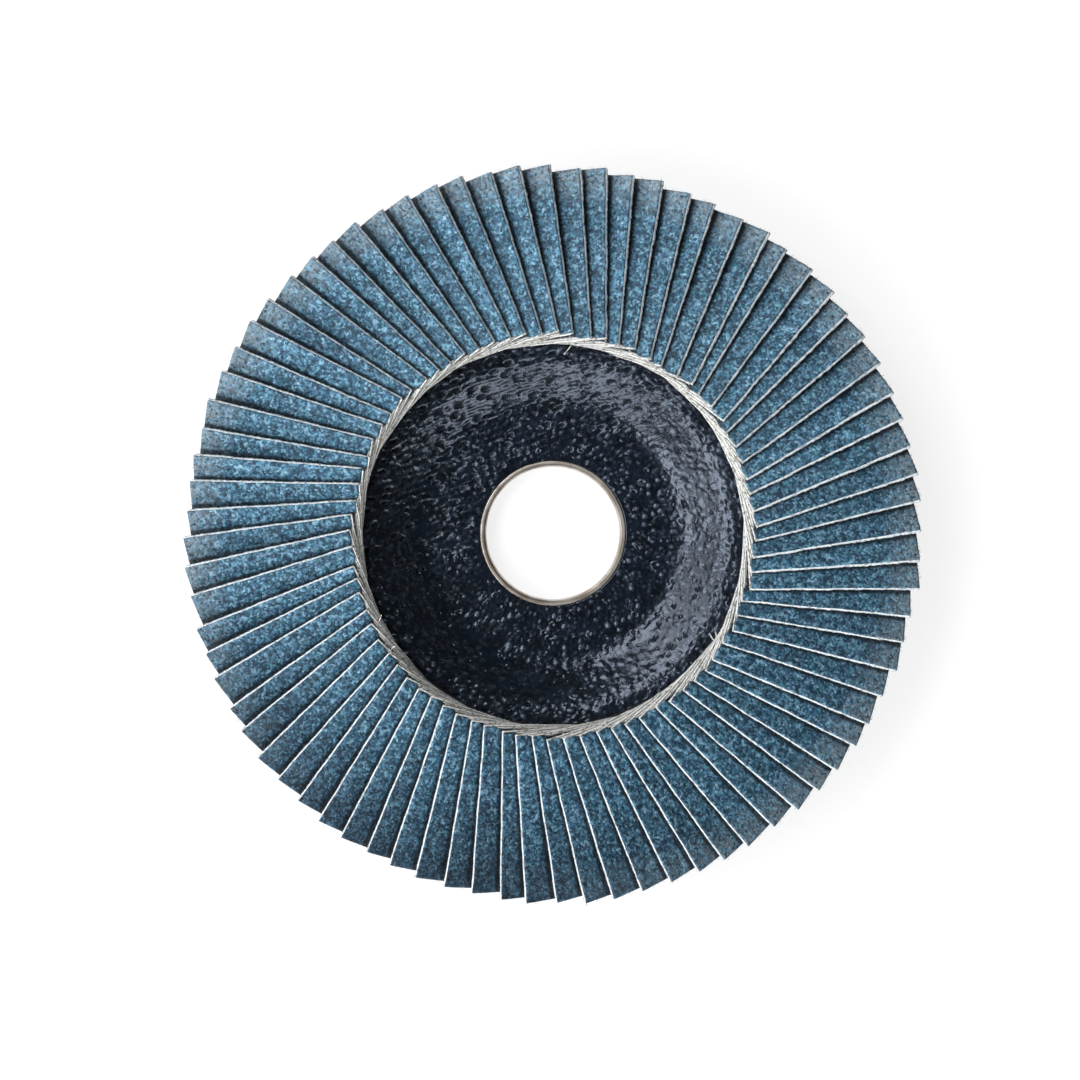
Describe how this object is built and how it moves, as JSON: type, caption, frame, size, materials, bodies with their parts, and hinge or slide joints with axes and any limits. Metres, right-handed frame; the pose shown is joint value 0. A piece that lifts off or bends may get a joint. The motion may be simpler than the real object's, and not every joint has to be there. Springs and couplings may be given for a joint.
{
  "type": "flap disc",
  "caption": "Round abrasive flap disc: a ring of overlapping blue abrasive cloth flaps glued to a depressed-centre backing plate with a metal-lined bore.",
  "frame": {"origin": "centre of the bore at the hub's back face", "axes": "+Z along the bore towards the working side with the flaps; +Y is up in the picture and +X is right"},
  "size_m": [0.1213, 0.1217, 0.0162],
  "materials": {
    "backing_plate": "glossy resin over coarse glass-fibre weave",
    "bore_ring": "plated, dull",
    "adhesive": "cured resin",
    "abrasive_cloth": "blue abrasive grain on cream cloth"
  },
  "bodies": {
    "root": {"backing_plate": "backing_plate", "bore_ring": "bore_ring", "adhesive_ring": "adhesive", "flap_pair_01": "abrasive_cloth", "flap_pair_02": "abrasive_cloth", "flap_pair_03": "abrasive_cloth", "flap_pair_04": "abrasive_cloth", "flap_pair_05": "abrasive_cloth", "flap_pair_06": "abrasive_cloth", "flap_pair_07": "abrasive_cloth", "flap_pair_08": "abrasive_cloth", "flap_pair_09": "abrasive_cloth", "flap_pair_10": "abrasive_cloth", "flap_pair_11": "abrasive_cloth", "flap_pair_12": "abrasive_cloth", "flap_pair_13": "abrasive_cloth", "flap_pair_14": "abrasive_cloth", "flap_pair_15": "abrasive_cloth", "flap_pair_16": "abrasive_cloth", "flap_pair_17": "abrasive_cloth", "flap_pair_18": "abrasive_cloth", "flap_pair_19": "abrasive_cloth", "flap_pair_20": "abrasive_cloth", "flap_pair_21": "abrasive_cloth", "flap_pair_22": "abrasive_cloth", "flap_pair_23": "abrasive_cloth", "flap_pair_24": "abrasive_cloth", "flap_pair_25": "abrasive_cloth", "flap_pair_26": "abrasive_cloth", "flap_pair_27": "abrasive_cloth", "flap_pair_28": "abrasive_cloth", "flap_pair_29": "abrasive_cloth", "flap_pair_30": "abrasive_cloth", "flap_pair_31": "abrasive_cloth", "flap_pair_32": "abrasive_cloth", "flap_pair_33": "abrasive_cloth", "flap_pair_34": "abrasive_cloth", "flap_pair_35": "abrasive_cloth", "flap_pair_36": "abrasive_cloth", "flap_pair_37": "abrasive_cloth", "flap_pair_38": "abrasive_cloth", "flap_pair_39": "abrasive_cloth", "flap_pair_40": "abrasive_cloth"}
  },
  "joints": []
}
